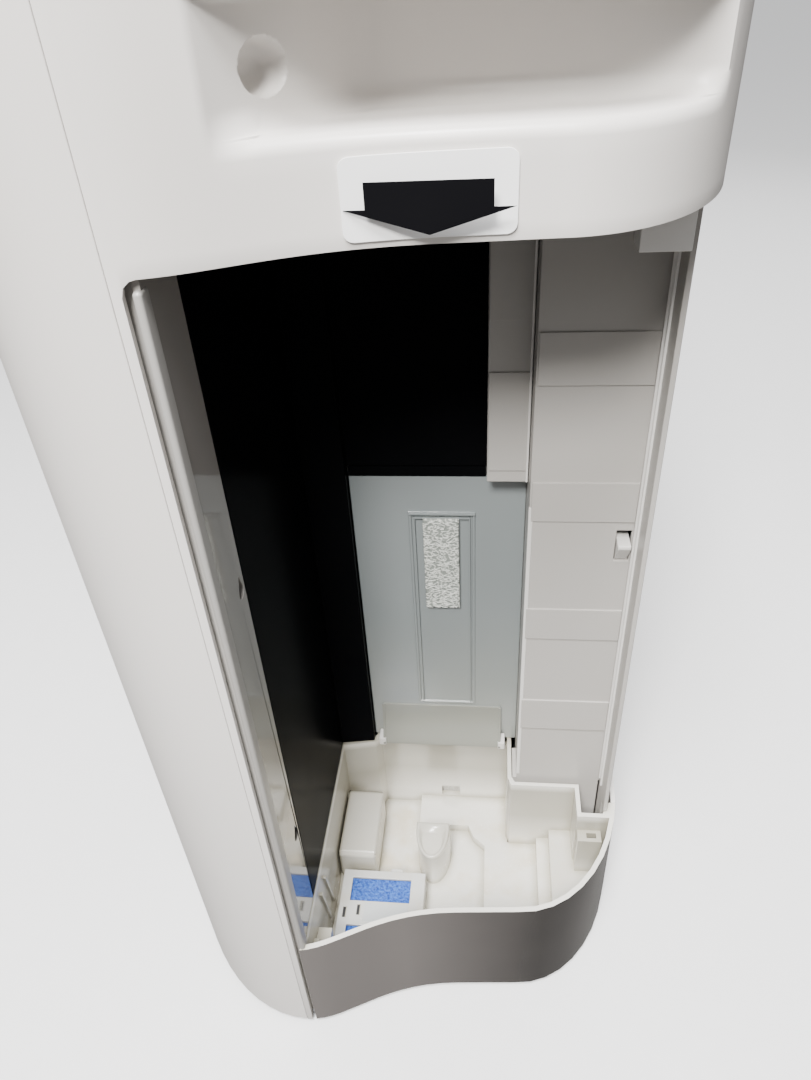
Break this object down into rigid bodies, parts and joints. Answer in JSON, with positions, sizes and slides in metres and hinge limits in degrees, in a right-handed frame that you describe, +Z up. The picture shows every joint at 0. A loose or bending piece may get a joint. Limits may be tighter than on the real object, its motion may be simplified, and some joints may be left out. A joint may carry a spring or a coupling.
{
  "type": "dehumidifier",
  "caption": "Floor-standing room dehumidifier with a waisted casing, a side tank bay open with the tank out, and a bowed pull-out drain tray.",
  "frame": {"origin": "on the floor, under the middle of the machine", "axes": "+X to the side the tank goes in at, +Y to the back with the air intake, +Z up"},
  "size_m": [0.37, 0.296, 0.6],
  "materials": {
    "casing": "satin, warm white",
    "tray_body": "satin white inside, taupe grey skin outside",
    "dark_liner": "high gloss black",
    "pale_liner": "fine satin light grey",
    "splash": "translucent grey blue, satin",
    "foam": "open cell foam, embossed",
    "label": "glossy film with a black arrow",
    "sponge": "coarse blue sponge",
    "small_pale": "satin grey",
    "dark_parts": "satin dark grey",
    "structure": "satin mid grey",
    "rubber": "matt",
    "steel": "plain",
    "fins": "bright",
    "filter": "pleated fibre",
    "zeolite": "matt honeycomb",
    "board": "green laminate",
    "lens": "dark tinted gloss"
  },
  "bodies": {
    "chassis": {"arrow_label": "label", "base_pan": "structure", "bay_bracket": "pale_liner", "bay_bulkhead": "structure", "bay_ceiling": "structure", "bay_corner_block": "pale_liner", "bay_liner_dark": "dark_liner", "bay_liner_pale": "pale_liner", "condenser": "fins", "control_board": "board", "control_panel": "dark_liner", "cord_gland": "rubber", "display_lens": "lens", "fan_cover": "dark_parts", "fan_housing": "dark_parts", "fan_motor": "steel", "foam_strip": "foam", "foot_front_left": "rubber", "foot_front_right": "rubber", "foot_rear_left": "rubber", "foot_rear_right": "rubber", "front_panel": "casing", "heater_box": "steel", "hepa_filter": "filter", "louver_motor": "dark_parts", "outlet_duct": "dark_parts", "power_board": "board", "prefilter": "dark_parts", "rear_panel": "casing", "screw_1": "steel", "screw_2": "steel", "screw_3": "steel", "screw_4": "steel", "side_panel_left": "casing", "side_panel_right": "casing", "splash_cover": "splash", "top_cover": "casing", "wheel_frame": "structure", "wheel_motor": "steel"},
    "drain_tray_body": {"drain_tray": "tray_body", "cartridge_case": "small_pale", "cartridge_sponge": "sponge", "wick_filter": "filter"},
    "float": {"float_block": "tray_body"},
    "latch": {"tank_latch": "pale_liner"},
    "louver_flap": {"louver": "casing"},
    "fan_rotor": {"fan_wheel": "dark_parts", "fan_shaft": "steel"},
    "moisture_wheel": {"desiccant_wheel": "zeolite"},
    "pinion": {"wheel_pinion": "small_pale"},
    "intake_cover": {"filter_cover": "casing"},
    "power_key": {"button_power": "small_pale"},
    "mode_key": {"button_mode": "small_pale"},
    "speed_key": {"button_speed": "small_pale"},
    "timer_key": {"button_timer": "small_pale"},
    "lock_key": {"button_lock": "small_pale"}
  },
  "joints": [
    {"name": "tray_slide", "type": "slide", "parent": "chassis", "child": "drain_tray_body", "axis": [1, 0, 0], "range_m": [0, 0.24]},
    {"name": "float_lift", "type": "hinge", "parent": "drain_tray_body", "child": "float", "pos_m": [0.0495, -0.0325, 0.04], "axis": [0, -1, 0], "range_deg": [0, 12]},
    {"name": "latch_press", "type": "slide", "parent": "chassis", "child": "latch", "axis": [-1, 0, 0], "range_m": [0, 0.005], "stiffness_N_per_m": 400, "springref_m": -0.002},
    {"name": "louver_tilt", "type": "hinge", "parent": "chassis", "child": "louver_flap", "pos_m": [0, -0.0615, 0.5955], "axis": [-1, 0, 0], "range_deg": [0, 80]},
    {"name": "fan_spin", "type": "hinge", "parent": "chassis", "child": "fan_rotor", "pos_m": [-0.012, -0.07, 0.3], "axis": [0, 1, 0], "continuous": true},
    {"name": "moisture_wheel_spin", "type": "hinge", "parent": "chassis", "child": "moisture_wheel", "pos_m": [-0.066, 0.058, 0.3], "axis": [0, 1, 0], "continuous": true},
    {"name": "pinion_spin", "type": "hinge", "parent": "chassis", "child": "pinion", "pos_m": [-0.11411, 0.047, 0.21668], "axis": [0, 1, 0], "continuous": true},
    {"name": "intake_cover_pull", "type": "slide", "parent": "chassis", "child": "intake_cover", "axis": [0, 1, 0], "range_m": [0, 0.05]},
    {"name": "power_press", "type": "slide", "parent": "chassis", "child": "power_key", "axis": [0, 0, -1], "range_m": [0, 0.0015], "stiffness_N_per_m": 200, "springref_m": -0.001},
    {"name": "mode_press", "type": "slide", "parent": "chassis", "child": "mode_key", "axis": [0, 0, -1], "range_m": [0, 0.0015], "stiffness_N_per_m": 200, "springref_m": -0.001},
    {"name": "speed_press", "type": "slide", "parent": "chassis", "child": "speed_key", "axis": [0, 0, -1], "range_m": [0, 0.0015], "stiffness_N_per_m": 200, "springref_m": -0.001},
    {"name": "timer_press", "type": "slide", "parent": "chassis", "child": "timer_key", "axis": [0, 0, -1], "range_m": [0, 0.0015], "stiffness_N_per_m": 200, "springref_m": -0.001},
    {"name": "lock_press", "type": "slide", "parent": "chassis", "child": "lock_key", "axis": [0, 0, -1], "range_m": [0, 0.0015], "stiffness_N_per_m": 200, "springref_m": -0.001}
  ],
  "couplings": [
    {"joint": "pinion_spin", "follows": "moisture_wheel_spin", "ratio": -5}
  ]
}
